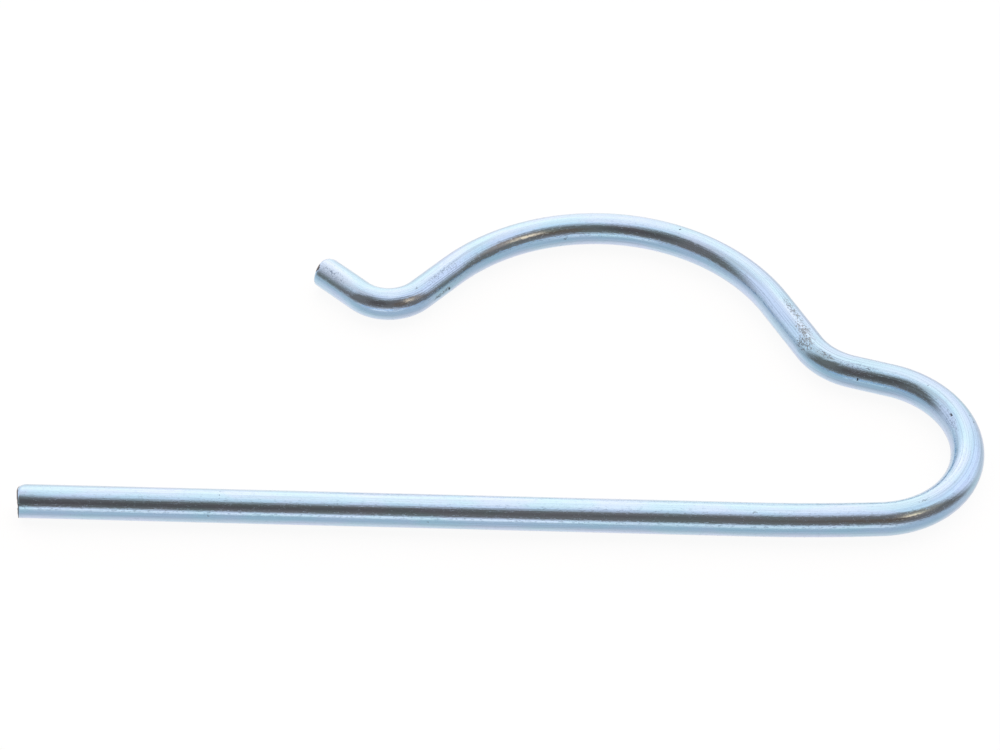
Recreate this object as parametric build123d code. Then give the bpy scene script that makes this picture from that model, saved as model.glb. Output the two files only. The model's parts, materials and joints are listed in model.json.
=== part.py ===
from build123d import *
import os

# Hitch R clip: one length of round spring wire, sheared off at both ends and bent in one plane.
# The straight leg goes through a hole, and the bowed arm springs over the outside of the pin or tube.
# Millimetres and degrees. +X runs along the leg from its sheared tip to the spring bend, +Y from the leg
# to the bowed arm, and +Z square to the clip, which lies flat. The origin is on the leg's axis, beside the
# crown of the saddle.

# Wire
wire_diameter = 3.0

# Straight leg, and the slight sweep that leads it into the spring bend
leg_length = 64.7
lead_radius = 148.5
lead_angle = 4.3

# Spring bend at the closed end
spring_radius = 8.8
spring_angle = 159.5

# Waist: a reverse bend that turns the returning arm outwards
waist_run = 3.6
waist_radius = 6.25
waist_angle = 46.1

# Saddle: the wide bow that sits over the pin
shoulder_run = 6.5
saddle_radius = 18.55
saddle_angle = 111.6

# Pull tip: the arm's end, turned outwards to guide the clip on and to pull it off
throat_run = 4.5
hook_radius = 3.9
hook_angle = 91.3
tip_run = 5.15

# Sheared ends: the blade rolls one side of the cut over and leaves its face a little out of square
roll_radius = 0.7
roll_reach_share = 0.94
roll_side_angle = 45.0
shear_slant = 4.0
shear_skew = 8.0

wire_radius = wire_diameter / 2
shear_allowance = wire_diameter
blade_width = 2 * wire_diameter


def straight(front, length):
    """A straight run of wire from the frame `front`, and the frame at its far end.

    A frame's Z axis is the way the wire is fed, X is to its left and Y is up out of the clip's plane.
    """
    run = front * extrude(Circle(wire_radius), length)
    return run, front * Pos(0, 0, length)


def bend(front, radius, angle):
    """A bend of that centreline radius from the frame `front`, and the frame at its far end.

    A positive angle turns left, and a negative one turns right.
    """
    side = 1 if angle > 0 else -1
    centre = Pos(side * radius, 0, 0)
    mandrel = Axis((side * radius, 0, 0), (0, side, 0))
    turn = front * revolve(Circle(wire_radius), mandrel, abs(angle))
    return turn, front * centre * Rot(0, angle, 0) * centre.inverse()


def shear_blade():
    """What the shear takes off, at an end whose Z axis points out of the wire and X to the rolled side."""
    waste = Box(blade_width, blade_width, blade_width, align=(Align.CENTER, Align.CENTER, Align.MIN))
    corner = Box(roll_radius, blade_width, roll_radius, align=(Align.MIN, Align.CENTER, Align.MAX))
    roll = Pos(0, 0, -roll_radius) * Rot(90, 0, 0) * Cylinder(roll_radius, blade_width)
    roll_start = wire_radius - roll_reach_share * roll_radius
    cut = waste + Pos(roll_start, 0, 0) * (corner - roll)
    return Rot(shear_skew, -shear_slant, 0) * cut


def clip_wire():
    """The whole clip: the wire is fed and bent step by step, then trimmed at both ends."""
    leg_tip = Plane(origin=(0, 0, 0), x_dir=(0, 1, 0), z_dir=(1, 0, 0)).location
    course = {
        "leg": (straight, shear_allowance + leg_length),
        "lead": (bend, lead_radius, lead_angle),
        "spring": (bend, spring_radius, spring_angle),
        "waist run": (straight, waist_run),
        "waist": (bend, waist_radius, -waist_angle),
        "shoulder": (straight, shoulder_run),
        "saddle": (bend, saddle_radius, saddle_angle),
        "throat": (straight, throat_run),
        "hook": (bend, hook_radius, -hook_angle),
        "pull tip": (straight, tip_run + shear_allowance),
    }
    front = leg_tip * Pos(0, 0, -shear_allowance)
    fronts = {}
    pieces = []
    for name, (step, *sizes) in course.items():
        fronts[name] = front
        piece, front = step(front, *sizes)
        pieces.append(piece)
    wire = pieces[0].fuse(*pieces[1:])

    # Both cuts are rolled on their upper side, to the right of the way the arm points
    rolled_side = Rot(0, 0, 180 - roll_side_angle)
    pull_tip = front * Pos(0, 0, -shear_allowance)
    blade = shear_blade()
    wire -= leg_tip * Rot(0, 180, 0) * rolled_side * blade
    wire -= pull_tip * rolled_side * blade

    bow_centre = fronts["saddle"] * Pos(saddle_radius, 0, 0)
    return Pos(-bow_centre.position.X, 0, 0) * wire


os.makedirs("parts", exist_ok=True)
clip = clip_wire()
clip.label = "clip_wire"
export_step(clip, "parts/clip_wire.step")
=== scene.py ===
import json
import math

import bmesh
import bpy
from mathutils import Matrix, Vector, noise


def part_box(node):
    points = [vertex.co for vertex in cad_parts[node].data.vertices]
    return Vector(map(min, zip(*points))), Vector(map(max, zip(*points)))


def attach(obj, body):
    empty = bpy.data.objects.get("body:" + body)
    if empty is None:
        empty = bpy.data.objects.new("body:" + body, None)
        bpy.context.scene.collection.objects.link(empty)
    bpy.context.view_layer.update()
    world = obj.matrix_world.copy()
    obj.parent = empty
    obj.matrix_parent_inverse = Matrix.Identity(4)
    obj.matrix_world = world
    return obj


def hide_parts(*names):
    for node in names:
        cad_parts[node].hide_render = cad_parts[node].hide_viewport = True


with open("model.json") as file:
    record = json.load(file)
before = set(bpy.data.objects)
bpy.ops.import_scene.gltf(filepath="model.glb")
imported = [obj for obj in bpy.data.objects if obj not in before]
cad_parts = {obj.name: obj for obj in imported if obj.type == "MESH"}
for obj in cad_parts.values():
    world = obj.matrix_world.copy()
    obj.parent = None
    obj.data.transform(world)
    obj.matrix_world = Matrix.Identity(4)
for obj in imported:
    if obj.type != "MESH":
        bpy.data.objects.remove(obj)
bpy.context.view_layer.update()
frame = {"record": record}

mm = 0.001
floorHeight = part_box("clip_wire")[0].z


# a socket that takes Python's own maths
class Sock:
    def __init__(self, tree, socket=None):
        self.tree = tree
        self.socket = socket

    # any node: its type, its settings, then the values or links of its sockets
    def node(self, kind, settings=None, inputs=None, out=0):
        made = self.tree.nodes.new(kind)
        for name, value in (settings or {}).items():
            setattr(made, name, value)
        for name, value in (inputs or {}).items():
            if isinstance(value, Sock):
                self.tree.links.new(value.socket, made.inputs[name])
            else:
                made.inputs[name].default_value = value
        return Sock(self.tree, made.outputs[out])

    def math(self, operation, first, second=0.0):
        return self.node("ShaderNodeMath", {"operation": operation}, {0: first, 1: second})

    def vector(self, operation, first, second=(0, 0, 0), third=(0, 0, 0), out="Vector"):
        inputs = {0: first, 1: second, 2: third}
        return self.node("ShaderNodeVectorMath", {"operation": operation}, inputs, out)

    def __add__(self, other):
        return self.math("ADD", self, other)

    def __sub__(self, other):
        return self.math("SUBTRACT", self, other)

    def __mul__(self, other):
        return self.math("MULTIPLY", self, other)

    def __rsub__(self, other):
        return self.math("SUBTRACT", other, self)

    __radd__ = __add__
    __rmul__ = __mul__

    # 0 below low, 1 above high, with a soft slope between
    def rise(self, low, high):
        limits = {"Value": self, "From Min": low, "From Max": high}
        return self.node("ShaderNodeMapRange", {"interpolation_type": "SMOOTHSTEP"}, limits)

    # 1 from the first slope to the second, 0 outside
    def between(self, first, second):
        return self.rise(*first) * (1 - self.rise(*second))

    # a colour or link where this mask is 0, another where it is 1; the numbers are the node's colour sockets
    def blend(self, low, high):
        return self.node("ShaderNodeMix", {"data_type": "RGBA"}, {0: self, 6: low, 7: high}, out=2)

    # noise on a vector, with so many grains to a millimetre each way
    def grains(self, density, detail=2.0, roughness=0.5, out=0):
        placed = self.vector("MULTIPLY", self, density)
        inputs = {"Vector": placed, "Scale": 1.0, "Detail": detail, "Roughness": roughness}
        return self.node("ShaderNodeTexNoise", None, inputs, out)

    def plug(self, node, name):
        self.tree.links.new(self.socket, node.inputs[name])


# the wire's bends in millimetres and degrees, as the part has them; left turns are positive
clipWire = dict(
    radius=frame["record"]["mounts"][0]["dims"]["r_mm"],
    legTip=-50.937,
    course=[              # length or radius, degrees turned, and rings of points
        ("run", 64.7, 0, 20),
        ("turn", 148.5, 4.3, 6),
        ("turn", 8.8, 159.5, 96),
        ("run", 3.6, 0, 12),
        ("turn", 6.25, -46.1, 28),
        ("run", 6.5, 0, 20),
        ("turn", 18.55, 111.6, 72),
        ("run", 4.5, 0, 12),
        ("turn", 3.9, -91.3, 48),
        ("run", 5.15, 0, 6),
    ],
    around=128,           # points in a ring
)


# a ring of points is fed along the course; straightWire keeps where each lay on the wire before it was bent:
# to its left, up, and along from the leg's tip
def bentWire(bm):
    for name in ("straightWire", "shearedFace"):
        bm.verts.layers.float_vector.new(name)
    straight = bm.verts.layers.float_vector["straightWire"]
    made = bmesh.ops.create_circle(bm, radius=clipWire["radius"], segments=clipWire["around"])
    for v in made["verts"]:
        v[straight] = v.co.copy()
    # the circle's Z becomes the way the wire is fed, X its left and Y up
    place = Matrix(((0, 0, 1, clipWire["legTip"]), (1, 0, 0, 0), (0, 1, 0, 0), (0, 0, 0, 1)))
    bmesh.ops.transform(bm, matrix=place, verts=made["verts"])
    ring = firstRing = list(bm.edges)
    point, heading, fed = place.translation.copy(), 0.0, 0.0
    for kind, size, degrees, steps in clipWire["course"]:
        ahead = Vector((math.cos(heading), math.sin(heading), 0))
        angle = math.radians(degrees)
        if kind == "run":
            length, move, centre = size, ahead * size / steps, point
            point = point + ahead * size
        else:
            length, move = size * abs(angle), Vector()
            centre = point + Vector((-ahead.y, ahead.x, 0)) * math.copysign(size, angle)
            point = centre + Matrix.Rotation(angle, 3, "Z") @ (point - centre)
        before = len(bm.verts)
        last = bmesh.ops.spin(bm, geom=ring, cent=centre, axis=(0, 0, 1), dvec=move, angle=angle, steps=steps)
        ring = [g for g in last["geom_last"] if isinstance(g, bmesh.types.BMEdge)]
        bm.verts.ensure_lookup_table()
        for i, v in enumerate(bm.verts[before:]):
            v[straight].z = fed + length * (i // clipWire["around"] + 1) / steps
        heading += angle
        fed += length
    return firstRing, ring, heading, fed


# the sheared ends: a rolled edge on one side, a burnished band, then a torn face, all a little out of square
shearedEnd = dict(
    rollRadius=0.7,
    rollReach=0.658,
    slant=4.0,
    skew=8.0,
    rimRound=0.42,
    rimSteps=7,
    rings=10,
    ringWidth=0.1,
    tornFrom=(0.25, -0.15),
    tornDepth=0.05,
    tornGrain=3.2,       # lumps to a millimetre
    tornRelief=0.07,
    tornFractal=(0.9, 2.0, 4),    # how the lumps fade, shrink and repeat
    # degrees round the wire to the rolled side, how round the rim is across from it, where the rim is bare
    # steel with painted shade on its edge, from what tilt at either end of that, and how far the bare strip
    # tapers
    leg=dict(rolled=45, burr=0.15, bare=(40, 250), bareTilt=(56, 8), taper=0),
    pullTip=dict(rolled=135, burr=0.65, bare=(30, 72), bareTilt=(4, 4), taper=70),
)


# how far an end stands out, at a place towards its rolled side and across that
def shearHeight(toRoll, across):
    height = toRoll * math.tan(math.radians(shearedEnd["slant"]))
    height += across * math.tan(math.radians(shearedEnd["skew"]))
    past = toRoll - (clipWire["radius"] - shearedEnd["rollReach"])
    if past > 0:
        roll = shearedEnd["rollRadius"]
        height -= roll - math.sqrt(max(roll * roll - past * past, 0))
    return height


# the torn part of an end lies lower and is lumpy, but not at the rim
def tornHeight(toRoll, across):
    start, full = shearedEnd["tornFrom"]
    torn = min(max((toRoll - start) / (full - start), 0), 1)
    inside = min((clipWire["radius"] - math.hypot(toRoll, across)) / (2 * shearedEnd["ringWidth"]), 1)
    place = Vector((toRoll, across, 0)) * shearedEnd["tornGrain"]
    lump = noise.fractal(place, *shearedEnd["tornFractal"])
    return torn * inside * (shearedEnd["tornRelief"] * lump - shearedEnd["tornDepth"])


# closes one end: wireLeft is the wire's own left there
def shearEnd(bm, ring, outward, wireLeft, along, end):
    straight = bm.verts.layers.float_vector["straightWire"]
    onFace = bm.verts.layers.float_vector["shearedFace"]
    radius = clipWire["radius"]
    centre = sum((v.co for e in ring for v in e.verts), Vector()) / (2 * len(ring))
    bmesh.ops.edgeloop_fill(bm, edges=ring)
    rounded = bmesh.ops.bevel(bm, geom=ring, offset=shearedEnd["rimRound"], affect="EDGES", material=-1,
                              segments=shearedEnd["rimSteps"], profile=0.5, clamp_overlap=False)
    rimVerts = set(rounded["verts"])
    face = max(bm.faces, key=lambda f: len(f.verts))
    capVerts = set(face.verts)
    for _ in range(shearedEnd["rings"]):
        bmesh.ops.inset_individual(bm, faces=[face], thickness=shearedEnd["ringWidth"])
        capVerts.update(face.verts)
    capVerts.update(bmesh.ops.poke(bm, faces=[face])["verts"])
    for f in {f for v in capVerts for f in v.link_faces if all(w in capVerts for w in f.verts)}:
        f.material_index = 1
    bm.normal_update()
    # rim faces in the bare range that tilt out far enough take the end's material, whose outer edge is
    # painted shade
    for f in rounded["faces"]:
        middle = f.calc_center_median() - centre
        turned = math.degrees(math.atan2(middle.z, middle.dot(wireLeft))) % 360
        first, last = end["bare"]
        share = (turned - first) / (last - first)
        limit = end["bareTilt"][0] * (1 - share) + end["bareTilt"][1] * share
        limit += end["taper"] * abs(2 * share - 1) ** 3
        tilted = abs(f.normal.dot(outward)) > math.sin(math.radians(limit))
        f.material_index = 1 if tilted and 0 < share < 1 else 0

    rollTurn = math.radians(end["rolled"])
    rollSide = wireLeft * math.cos(rollTurn) + Vector((0, 0, math.sin(rollTurn)))
    acrossSide = outward.cross(rollSide)
    for v in rimVerts | capVerts:
        out = (v.co - centre).dot(outward)
        spoke = v.co - centre - outward * out
        if v in rimVerts:      # the rim is drawn out towards a sharp corner on the burr's side
            facing = math.sqrt(max(1 + spoke.normalized().dot(rollSide), 0) / 2)
            kept = end["burr"] + (1 - end["burr"]) * facing
            corner = spoke.normalized() * radius
            spoke = corner.lerp(spoke, kept)
            out *= kept
        toRoll, across = spoke.dot(rollSide), spoke.dot(acrossSide)
        out += shearHeight(toRoll, across) + tornHeight(toRoll, across)
        v.co = centre + spoke + outward * out
        v[onFace] = (toRoll, across, 0)
        v[straight] = (spoke.dot(wireLeft), spoke.z, abs(along + out))


# where the bending tools pressed on the wire: millimetres along it, degrees round it, then half the mark's
# length and half its width
toolMarks = dict(
    places=[
        (108.7, 60, 1.6, 1.5),       # the waist's mandrel galled the neck
        (110.0, 84, 2.2, 1.0),
        (112.8, 100, 3.2, 0.6),
        (106.4, 68, 1.6, 0.4),
        (154.3, 6, 1.8, 0.36),       # and the hook's punch the saddle's foot
    ],
    depth=0.03,
    grain=1.6,         # lumps to a millimetre
    even=0.6,          # share of the depth that has no lumps
)


# the marks are pressed a little way in
def pressToolMarks(bm):
    straight = bm.verts.layers.float_vector["straightWire"]
    radius = clipWire["radius"]
    bm.normal_update()
    pressed = {}
    for along, around, halfLength, halfWidth in toolMarks["places"]:
        turn = math.radians(around)
        side = Vector((math.cos(turn), math.sin(turn), 0)) * radius
        for v in bm.verts:
            gap = v[straight] - side
            away = math.hypot(gap.xy.length / halfWidth, (v[straight].z - along) / halfLength)
            if away < 1:
                lump = noise.noise(v[straight] * toolMarks["grain"])
                depth = toolMarks["depth"] * (1 - away * away) ** 2 * (toolMarks["even"] + lump)
                pressed[v] = max(pressed.get(v, 0), depth)
    for v, depth in pressed.items():
        v.co -= v.normal * depth


def makeClipWire():
    bm = bmesh.new()
    firstRing, lastRing, heading, fed = bentWire(bm)
    bmesh.ops.recalc_face_normals(bm, faces=bm.faces)
    pressToolMarks(bm)
    tipWay = Vector((math.cos(heading), math.sin(heading), 0))
    shearEnd(bm, firstRing, Vector((-1, 0, 0)), Vector((0, 1, 0)), 0.0, shearedEnd["leg"])
    shearEnd(bm, lastRing, tipWay, Vector((-tipWay.y, tipWay.x, 0)), fed, shearedEnd["pullTip"])
    bmesh.ops.recalc_face_normals(bm, faces=bm.faces)
    for f in bm.faces:
        f.smooth = True
    bmesh.ops.scale(bm, vec=(mm, mm, mm), verts=bm.verts)
    mesh = bpy.data.meshes.new("clip_wire_finished")
    bm.to_mesh(mesh)
    bm.free()
    piece = bpy.data.objects.new("clip_wire_finished", mesh)
    bpy.context.collection.objects.link(piece)
    print("wire fed", round(fed, 2), "mm,", len(mesh.polygons), "faces")
    return piece


# densities are grains to a millimetre: to the wire's left, up and along; a range is where a noise starts to
# show and where it shows in full
zincPlate = dict(
    lilac=(0.579, 0.740, 0.960, 1),
    cyan=(0.518, 0.756, 0.927, 1),
    cloudDensity=(0.75, 0.75, 0.2),
    cloudRange=(0.36, 0.64),
    lineColour=(0.35, 0.47, 0.63, 1),
    fineDensity=(7.5, 7.5, 0.07),
    fineRange=(0.46, 0.64),
    wideDensity=(2.6, 2.6, 0.035),
    wideRange=(0.48, 0.7),
    wideShare=0.6,
    unstretched=0.4,       # how strong the lines are where no bend has opened them
    grainDensity=(8.0, 8.0, 2.6),
    grainRange=(0.5, 0.74),
    grainFineness=0.6,
    raggedDensity=(4.0, 4.0, 4.0),
    raggedReach=0.5,       # millimetres that a mark's edge wanders
    # a mark starts to fade at its edge and is gone at markFade, both in its own half sizes
    edges=dict(worn=0.1, brushed=0.1, dulled=0.5, pits=0.6, nicks=0.5, stretched=0.2),
    markFade=1.15,
    stretched=[           # the bends have opened the lines: along, round, half length and half width
        (101.4, 72, 28.0, 2.4),
        (152.9, 64, 9.0, 1.4),
    ],
    brushed=[              # and the tools have dulled the plate
        (165.2, 66, 2.6, 0.7),
        (153.4, 70, 4.0, 0.7),
        (103.4, 66, 3.2, 0.6),
        (91.6, 52, 3.0, 0.6),
    ],
    dulled=[               # most of all at the pull tip, where it is paler too
        (165.3, 73, 3.6, 0.8),
    ],
    dulledColour=(0.655, 0.795, 0.96, 1),
    brushedShare=0.7,      # how worn a brushed place is beside a tool mark
    speckDensity=(7.5, 7.5, 4.5),
    speckReach=0.55,
    speckRange=(-0.08, 0.1),     # over which a speck's edge fades out
    rubbedRange=(0.02, 0.3),     # how rubbed a place is where specks start and where all show
    wornRange=(0.0, 0.3),        # and where they turn from the rubbed colour to their own
    speckColour=(0.25, 0.28, 0.305, 1),
    rubbedColour=(0.27, 0.36, 0.49, 1),
    pitColour=(0.05, 0.05, 0.055, 1),
    nickShare=0.5,         # how deep a nick is beside a pit
    tint=dict(lines=0.7, grain=0.25, dulled=0.8, specks=0.8, pits=0.92),
    rough=dict(plain=0.12, lines=0.06, grain=0.19, specks=0.2, rubbed=0.1, pits=0.35, dulled=0.2),
    relief=dict(grain=0.0034, lines=0.0042, specks=0.005, pits=0.03),
    pits=[
        (92.35, 60, 0.2, 0.13),
        (103.15, 22, 0.13, 0.09),
        (127.9, 94, 0.1, 0.14),
        (153.55, 0, 0.19, 0.2),
        (155.2, 0, 0.42, 0.1),
    ],
    nicks=[
        (7.7, 63, 0.08, 0.2),
        (17.9, 75, 0.08, 0.1),
        (17.9, 92, 0.08, 0.1),
        (17.0, 168, 0.1, 0.1),
        (36.2, 172, 0.14, 0.12),
        (64.7, 109, 0.25, 0.09),
        (79.6, 94, 0.65, 0.08),
        (91.0, 125, 0.12, 0.12),
        (91.7, 122, 0.1, 0.1),
        (96.5, 80, 0.1, 0.13),
        (102.5, 65, 0.25, 0.09),
        (139.35, 10, 0.13, 0.13),
        (156.7, 77, 0.12, 0.12),
    ],
)


def zincMaterial():
    material = bpy.data.materials.new("zinc_plate")
    material.use_nodes = True
    tree = material.node_tree
    shader = tree.nodes["Principled BSDF"]
    start = Sock(tree)
    straight = start.node("ShaderNodeAttribute", {"attribute_name": "straightWire"}, out="Vector")

    # marks have ragged edges, so they read a wavy place
    reach = zincPlate["raggedReach"]
    ragged = straight.grains(zincPlate["raggedDensity"], out="Color")
    wavy = start.vector("MULTIPLY_ADD", ragged, (reach, reach, reach), straight)

    def marked(along, around, halfLength, halfWidth, edge):
        turn = math.radians(around)
        side = Vector((math.cos(turn), math.sin(turn), 0)) * clipWire["radius"]
        middle = side + Vector((reach / 2, reach / 2, along + reach / 2))
        size = Vector((1 / halfWidth, 1 / halfWidth, 1 / halfLength))
        gap = start.vector("MULTIPLY_ADD", wavy, size, -middle * size)
        return 1 - start.vector("LENGTH", gap, out="Value").rise(edge, zincPlate["markFade"])

    def together(places, name):
        edge = zincPlate["edges"][name]
        mask = marked(*places[0], edge)
        for place in places[1:]:
            mask = start.math("MAXIMUM", mask, marked(*place, edge))
        return mask

    worn = together(toolMarks["places"], "worn")
    brushed, dulled, pits, nicks, stretched = (
        together(zincPlate[name], name) for name in ("brushed", "dulled", "pits", "nicks", "stretched")
    )
    pits = start.math("MAXIMUM", pits, nicks * zincPlate["nickShare"])

    # the plate's faint clouds of colour, and the lines that the drawing die left along the wire
    tint, rough, relief = zincPlate["tint"], zincPlate["rough"], zincPlate["relief"]
    clouds = straight.grains(zincPlate["cloudDensity"]).rise(*zincPlate["cloudRange"])
    colour = clouds.blend(zincPlate["lilac"], zincPlate["cyan"])
    fine = straight.grains(zincPlate["fineDensity"], detail=3.0).rise(*zincPlate["fineRange"])
    wide = straight.grains(zincPlate["wideDensity"]).rise(*zincPlate["wideRange"])
    opened = zincPlate["unstretched"] + (1 - zincPlate["unstretched"]) * stretched
    lines = start.math("MAXIMUM", fine, wide * zincPlate["wideShare"]) * opened
    grain = straight.grains(zincPlate["grainDensity"], roughness=zincPlate["grainFineness"])
    grain = grain.rise(*zincPlate["grainRange"])
    colour = (lines * tint["lines"] + grain * tint["grain"]).blend(colour, zincPlate["lineColour"])
    colour = (dulled * tint["dulled"]).blend(colour, zincPlate["dulledColour"])

    # specks, more and larger where the wire is more worn
    cell = start.vector("MULTIPLY", wavy, zincPlate["speckDensity"])
    scattered = {"Vector": cell, "Scale": 1.0, "Randomness": 1.0}
    speck = start.node("ShaderNodeTexVoronoi", None, scattered, "Distance")
    rubbed = start.math("MAXIMUM", worn, brushed * zincPlate["brushedShare"])
    specks = 1 - (speck - rubbed * zincPlate["speckReach"]).rise(*zincPlate["speckRange"])
    specks = specks * rubbed.rise(*zincPlate["rubbedRange"])
    wornAway = worn.rise(*zincPlate["wornRange"])
    speckColour = wornAway.blend(zincPlate["rubbedColour"], zincPlate["speckColour"])
    colour = (specks * tint["specks"]).blend(colour, speckColour)
    colour = (pits * tint["pits"]).blend(colour, zincPlate["pitColour"])
    roughness = rough["plain"] + lines * rough["lines"] + grain * rough["grain"] + specks * rough["specks"]
    roughness = roughness + rubbed * rough["rubbed"] + pits * rough["pits"] + dulled * rough["dulled"]
    height = grain * relief["grain"] - lines * relief["lines"] - specks * relief["specks"]
    height = height - pits * relief["pits"]
    bumps = {"Height": height, "Strength": 1.0, "Distance": mm}
    shader.inputs["Metallic"].default_value = 1
    colour.plug(shader, "Base Color")
    roughness.plug(shader, "Roughness")
    start.node("ShaderNodeBump", None, bumps).plug(shader, "Normal")
    return material


shearedFace = dict(
    burnished=(0.50, 0.51, 0.52, 1),
    torn=(0.30, 0.285, 0.27, 1),
    stain=(0.34, 0.25, 0.16, 1),
    # painted shade: the bare steel rim is coloured near-black for the dark that the sheared edge reflects
    rimPaintedShade=(0.085, 0.078, 0.085, 1),
    rimFrom=(1.08, 1.28),         # millimetres from the middle
    rimMetal=0.4,                 # how metallic the rim is under its painted shade
    streakDensity=(0.9, 9.0, 9.0),
    streakRange=(0.42, 0.68),
    tornDensity=(6.0, 6.0, 6.0),
    tornRange=(-0.12, 0.22),      # millimetres towards the rolled side, over which the torn part ends
    tornRagged=0.7,
    stainDensity=(1.4, 1.4, 1.4),
    stainRange=(0.5, 0.7),
    tint=dict(rimPaintedShade=0.9, stain=0.7, stainOnRim=0.05),
    rough=dict(plain=0.26, streaks=0.14, torn=0.22, stain=0.1, rimPaintedShade=0.15),
    relief=dict(torn=0.03, streaks=0.004),
)


def shearedMaterial():
    material = bpy.data.materials.new("sheared_face")
    material.use_nodes = True
    tree = material.node_tree
    shader = tree.nodes["Principled BSDF"]
    start = Sock(tree)
    onFace = start.node("ShaderNodeAttribute", {"attribute_name": "shearedFace"}, out="Vector")
    toRoll = start.node("ShaderNodeSeparateXYZ", None, {0: onFace})
    tint, rough, relief = shearedFace["tint"], shearedFace["rough"], shearedFace["relief"]
    lumps = onFace.grains(shearedFace["tornDensity"], detail=4.0, roughness=0.65)
    streaks = onFace.grains(shearedFace["streakDensity"], detail=3.0).rise(*shearedFace["streakRange"])
    torn = 1 - (toRoll + (lumps - 0.5) * shearedFace["tornRagged"]).rise(*shearedFace["tornRange"])
    colour = torn.blend(shearedFace["burnished"], shearedFace["torn"])
    stain = onFace.grains(shearedFace["stainDensity"], detail=3.0).rise(*shearedFace["stainRange"])
    # the rim is painted near-black: painted shade for the dark that the sheared edge reflects
    rimPaintedShade = start.vector("LENGTH", onFace, out="Value").rise(*shearedFace["rimFrom"])
    colour = (rimPaintedShade * tint["rimPaintedShade"]).blend(colour, shearedFace["rimPaintedShade"])
    stained = stain * (tint["stain"] - rimPaintedShade * (tint["stain"] - tint["stainOnRim"]))
    colour = stained.blend(colour, shearedFace["stain"])
    metal = 1 - rimPaintedShade * (1 - shearedFace["rimMetal"])
    roughness = rough["plain"] + streaks * rough["streaks"] + torn * rough["torn"]
    roughness = roughness + stain * rough["stain"] + rimPaintedShade * rough["rimPaintedShade"]
    height = torn * lumps * relief["torn"] - (1 - torn) * streaks * relief["streaks"]
    bumps = {"Height": height, "Strength": 1.0, "Distance": mm}
    metal.plug(shader, "Metallic")
    colour.plug(shader, "Base Color")
    roughness.plug(shader, "Roughness")
    start.node("ShaderNodeBump", None, bumps).plug(shader, "Normal")
    return material


clip = makeClipWire()
clip.data.materials.append(zincMaterial())
clip.data.materials.append(shearedMaterial())
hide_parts("clip_wire")
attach(clip, "root")
print("wire plated")


# what the wire mirrors, in degrees round from the near side and degrees up: white walls and ceiling, with a
# window and a grey shelf behind, a white table that is duller on the near side, a white board in front, and a
# dim room beyond it with a cupboard and one small warm lamp
studio = dict(
    wall=(0.964, 0.941, 0.975, 1),
    backWall=(1.27, 1.155, 1.07, 1),
    backWallRound=(124, 180),
    ceiling=(0.85, 0.775, 0.75, 1),
    ceilingWay=(-114, 63),
    ceilingSpread=(17, 1),
    rightWall=(1.12, 1.06, 1.13, 1),
    rightWallWay=(117, 33),
    rightWallSpread=(23, 16),
    window=(1.45, 1.28, 1.16, 1),
    windowWay=(-170, 29),
    windowSpread=(24, 6),
    shelf=(0.70, 0.715, 0.73, 1),
    shelfLeft=(-174, -147),
    shelfRight=(-80, -76),
    shelfLow=(-1, 10),
    shelfHigh=(0, 29),
    tableUnder=(0.80, 0.71, 0.673, 1),
    tableNear=(0.55, 0.607, 0.636, 1),
    tableFar=(0.72, 0.71, 0.69, 1),
    tableFrom=-12,            # the way that the table is dullest
    tableTurn=(71, 123),
    tableBack=(1.3, 1.26, 1.1, 1),
    tableBackRound=(169, 178),
    tableFall=(-83, -28),
    tableEdge=(-8, 6),
    bounce=(1.02, 0.93, 0.913, 1),
    bounceWay=(-150, -47),
    bounceSpread=(78, 3),
    frontBoard=(1.28, 1.22, 1.12, 1),
    frontBoardLeft=(-37, -22),
    frontBoardRight=(2, 48),
    frontBoardLow=(-17, -2),
    room=(0.212, 0.178, 0.154, 1),
    roomLeft=(-104, -73),
    roomRight=(83, 107),
    roomRightLean=0.28,       # degrees round that its right side leans in, to each degree up
    roomLow=(1, 18),
    roomLowFrom=9,            # further round than this the room reaches lower, by so much to a degree
    roomLowRight=0.25,
    roomLowLeft=0.16,
    roomHigh=(63, 89),
    shade=(0.125, 0.096, 0.085, 1),
    shadeWay=(-23, 42),
    shadeSpread=(25, 1),
    cupboard=(0.177, 0.118, 0.083, 1),
    cupboardWay=(24, 37),
    cupboardSpread=(19, 1),
    glow=(0.41, 0.305, 0.235, 1),
    glowWay=(61, 46),
    glowSpread=(24, 1),
    lamp=(1.5, 1.04, 0.64, 1),
    lampWay=(48, 43.7),
    lampSpread=(9.5, 2.5),
    fill=1.95,               # how much more the walls light the table than they show
)


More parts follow.
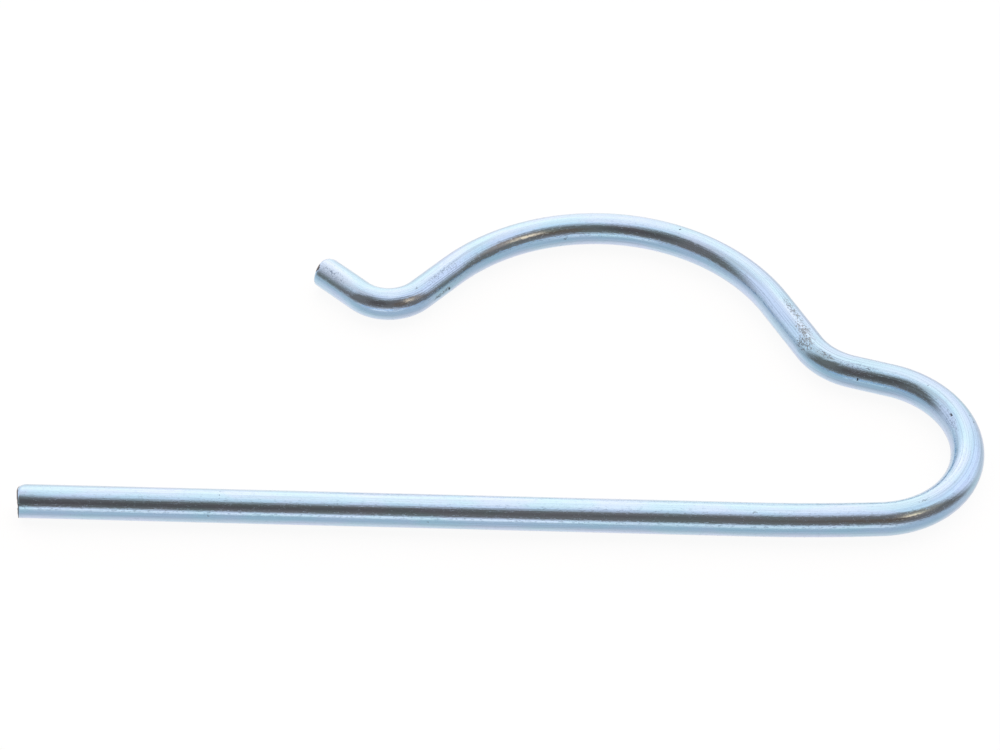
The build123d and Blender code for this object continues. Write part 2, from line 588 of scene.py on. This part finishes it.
def makeStudio():
    world = bpy.data.worlds.new("studio")
    bpy.context.scene.world = world
    world.use_nodes = True
    tree = world.node_tree
    start = Sock(tree)
    way = start.node("ShaderNodeTexCoord", out="Generated")
    x, y, z = (start.node("ShaderNodeSeparateXYZ", None, {0: way}, out) for out in range(3))
    degrees = 180 / math.pi
    turned = start.math("ARCTAN2", x, -1 * y) * degrees
    up = start.math("ARCSINE", z) * degrees

    # a soft round patch on the wall, centred on a way given in degrees
    def patch(name):
        around, above = (math.radians(angle) for angle in studio[name + "Way"])
        centre = (math.sin(around) * math.cos(above), -math.cos(around) * math.cos(above), math.sin(above))
        aim = start.vector("DOT_PRODUCT", way, centre, out="Value")
        return aim.rise(*(math.cos(math.radians(angle)) for angle in studio[name + "Spread"]))

    fromFront = start.math("ABSOLUTE", turned)
    walls = fromFront.rise(*studio["backWallRound"]).blend(studio["wall"], studio["backWall"])
    for name in ("ceiling", "rightWall", "window"):
        walls = patch(name).blend(walls, studio[name])
    shelf = turned.between(studio["shelfLeft"], studio["shelfRight"])
    shelf = shelf * up.between(studio["shelfLow"], studio["shelfHigh"])
    walls = shelf.blend(walls, studio["shelf"])
    fromDull = start.math("ABSOLUTE", turned - studio["tableFrom"])
    tableSide = fromDull.rise(*studio["tableTurn"]).blend(studio["tableNear"], studio["tableFar"])
    tableSide = fromFront.rise(*studio["tableBackRound"]).blend(tableSide, studio["tableBack"])
    tableTop = up.rise(*studio["tableFall"]).blend(studio["tableUnder"], tableSide)
    tableTop = patch("bounce").blend(tableTop, studio["bounce"])
    board = turned.between(studio["frontBoardLeft"], studio["frontBoardRight"])
    board = board * up.rise(*studio["frontBoardLow"])
    lower = board.blend(tableTop, studio["frontBoard"])
    colour = up.rise(*studio["tableEdge"]).blend(lower, walls)
    roomSides = turned.rise(*studio["roomLeft"])
    roomSides = roomSides * (1 - (turned + up * studio["roomRightLean"]).rise(*studio["roomRight"]))
    roomFoot = up + start.math("MAXIMUM", turned - studio["roomLowFrom"], 0.0) * studio["roomLowRight"]
    roomFoot = roomFoot - start.math("MINIMUM", turned + studio["roomLowFrom"], 0.0) * studio["roomLowLeft"]
    room = roomSides * roomFoot.rise(*studio["roomLow"]) * (1 - up.rise(*studio["roomHigh"]))
    inside = studio["room"]
    for name in ("shade", "cupboard", "glow", "lamp"):
        inside = patch(name).blend(inside, studio[name])
    colour = room.blend(colour, inside)

    toCamera = start.node("ShaderNodeLightPath", out="Is Camera Ray")
    mirrored = start.math("MAXIMUM", toCamera, start.node("ShaderNodeLightPath", out="Is Glossy Ray"))
    mirrored = start.math("MAXIMUM", mirrored, start.node("ShaderNodeLightPath", out="Is Transmission Ray"))
    seen = toCamera.blend(colour, (1, 1, 1, 1))
    strength = studio["fill"] + mirrored * (1 - studio["fill"])
    background = tree.nodes["Background"]
    seen.plug(background, "Color")
    strength.plug(background, "Strength")
    print("studio lit")


table = dict(
    size=4.0,
    colour=(0.88, 0.88, 0.88, 1),
    cameraWhite=0.92,    # share of plain white in what the camera sees of the table
)


def makeTable():
    bm = bmesh.new()
    bmesh.ops.create_grid(bm, x_segments=1, y_segments=1, size=table["size"])
    bmesh.ops.translate(bm, vec=(0, 0, floorHeight), verts=bm.verts)
    mesh = bpy.data.meshes.new("table_top")
    bm.to_mesh(mesh)
    bm.free()
    top = bpy.data.objects.new("table_top", mesh)
    bpy.context.collection.objects.link(top)
    # the wire mirrors the studio's own table, with no shadow at the wire's foot
    top.visible_glossy = False
    material = bpy.data.materials.new("table_white")
    material.use_nodes = True
    tree = material.node_tree
    tree.nodes.clear()
    start = Sock(tree)
    lit = start.node("ShaderNodeBsdfDiffuse", None, {"Color": table["colour"]})
    white = start.node("ShaderNodeEmission", None, {"Color": (1, 1, 1, 1), "Strength": 1})
    share = start.node("ShaderNodeLightPath", out="Is Camera Ray") * table["cameraWhite"]
    both = start.node("ShaderNodeMixShader", None, {0: share, 1: lit, 2: white})
    both.plug(tree.nodes.new("ShaderNodeOutputMaterial"), "Surface")
    mesh.materials.append(material)
    print("table laid")


# where the photograph was taken from: the point it is aimed at and the way it looks
photoView = dict(
    target=(-9.047, 17.13, 0),
    turned=1.96,         # degrees to the left of square on to the leg
    down=44.9,
    distance=275.0,
    lens=108.0,
    sensor=36.0,
    nearest=0.01,        # metres; nothing closer is drawn
)


def makeCamera():
    data = bpy.data.cameras.new("photo_camera")
    data.sensor_width = photoView["sensor"]
    data.lens = photoView["lens"]
    data.clip_start = photoView["nearest"]
    camera = bpy.data.objects.new("photo_camera", data)
    bpy.context.collection.objects.link(camera)
    turned, down = math.radians(photoView["turned"]), math.radians(photoView["down"])
    ahead = Vector((-math.sin(turned) * math.cos(down), math.cos(turned) * math.cos(down), -math.sin(down)))
    camera.location = (Vector(photoView["target"]) - ahead * photoView["distance"]) * mm
    camera.rotation_euler = ahead.to_track_quat("-Z", "Y").to_euler()
    bpy.context.scene.camera = camera
    print("camera set")


makeStudio()
makeTable()
makeCamera()
bpy.context.scene.view_settings.view_transform = "Standard"
